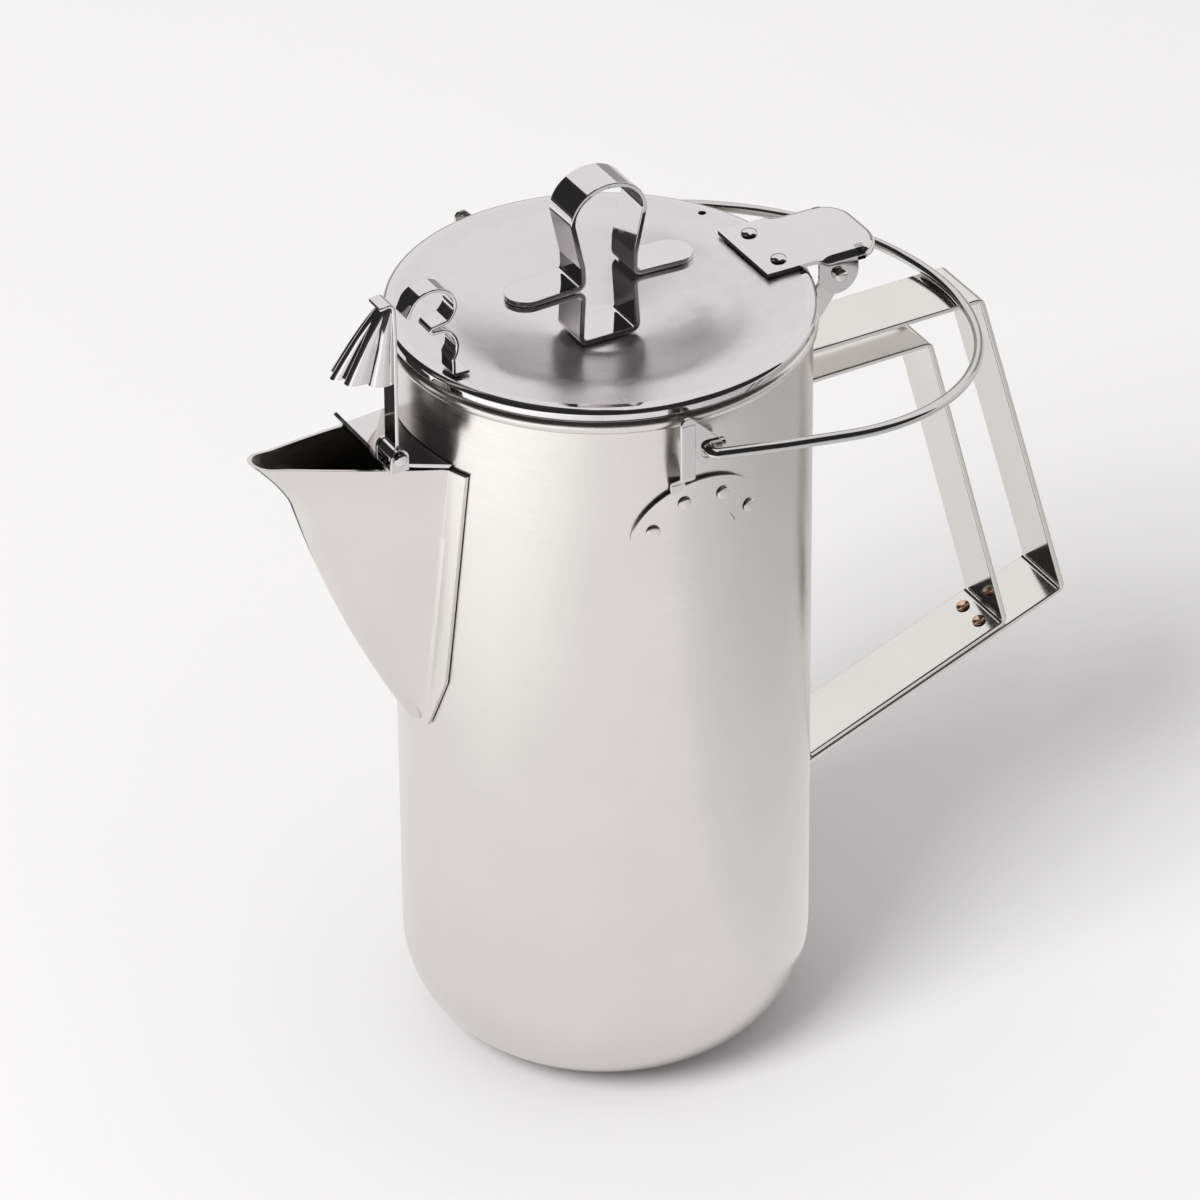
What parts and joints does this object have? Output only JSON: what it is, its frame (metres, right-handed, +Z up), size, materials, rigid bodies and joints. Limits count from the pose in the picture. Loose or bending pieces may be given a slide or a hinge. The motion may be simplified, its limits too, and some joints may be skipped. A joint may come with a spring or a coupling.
{
  "type": "coffee percolator",
  "caption": "Tall round steel camping pot with a V-shaped spout, hinged lid with strap knob, strap side handle, wire bail, thumb latch and a lift-out percolator basket.",
  "frame": {"origin": "centre of the pot's flat underside, on the surface it stands on", "axes": "+Z up along the pot's axis; -X towards the spout, +X towards the strap handle and lid hinge; the thumb latch sits on the -Y side of the spout"},
  "size_m": [0.244, 0.1374, 0.2613],
  "materials": {
    "polished_steel": "mirror-polished stainless steel",
    "satin_steel": "finely polished stainless steel",
    "wire_steel": "drawn stainless wire",
    "tinted_rivet": "copper-tinted steel rivet"
  },
  "bodies": {
    "pot": {"pot_shell": "satin_steel", "pot_floor": "satin_steel", "spout": "satin_steel", "spout_hood": "polished_steel", "latch_clevis": "polished_steel", "latch_pin": "polished_steel", "pot_hinge_bracket": "satin_steel", "lid_hinge_pin": "satin_steel", "handle_outer": "satin_steel", "handle_inner": "satin_steel", "handle_rivet_near": "tinted_rivet", "handle_rivet_far": "tinted_rivet", "bail_ear_near": "satin_steel", "bail_ear_far": "satin_steel", "ear_rivet_near_1": "satin_steel", "ear_rivet_near_2": "satin_steel", "ear_rivet_near_3": "satin_steel", "ear_rivet_near_4": "satin_steel", "ear_rivet_far_1": "satin_steel", "ear_rivet_far_2": "satin_steel", "ear_rivet_far_3": "satin_steel", "ear_rivet_far_4": "satin_steel"},
    "lid": {"lid": "polished_steel", "lid_scroll": "polished_steel", "knob_bracket": "polished_steel", "knob_loop": "polished_steel", "lid_hinge_plate": "polished_steel", "hinge_rivet_near": "polished_steel", "hinge_rivet_far": "polished_steel"},
    "bail": {"bail": "wire_steel"},
    "latch": {"thumb_latch": "polished_steel"},
    "insert": {"pump_tube": "satin_steel", "pump_base": "satin_steel", "coffee_basket": "satin_steel", "basket_lid": "satin_steel"}
  },
  "joints": [
    {"name": "lid_hinge", "type": "hinge", "parent": "pot", "child": "lid", "pos_m": [0.065, 0, 0.2195], "axis": [0, 1, 0], "range_deg": [0, 105]},
    {"name": "bail_swing", "type": "hinge", "parent": "pot", "child": "bail", "pos_m": [-0.0025, 0, 0.2113], "axis": [0, -1, 0], "range_deg": [0, 175]},
    {"name": "latch_pivot", "type": "hinge", "parent": "pot", "child": "latch", "pos_m": [-0.0693, -0.0143, 0.2056], "axis": [0, -1, 0], "range_deg": [0, 25]},
    {"name": "insert_lift", "type": "slide", "parent": "pot", "child": "insert", "axis": [0, 0, 1], "range_m": [0, 0.0128]}
  ]
}
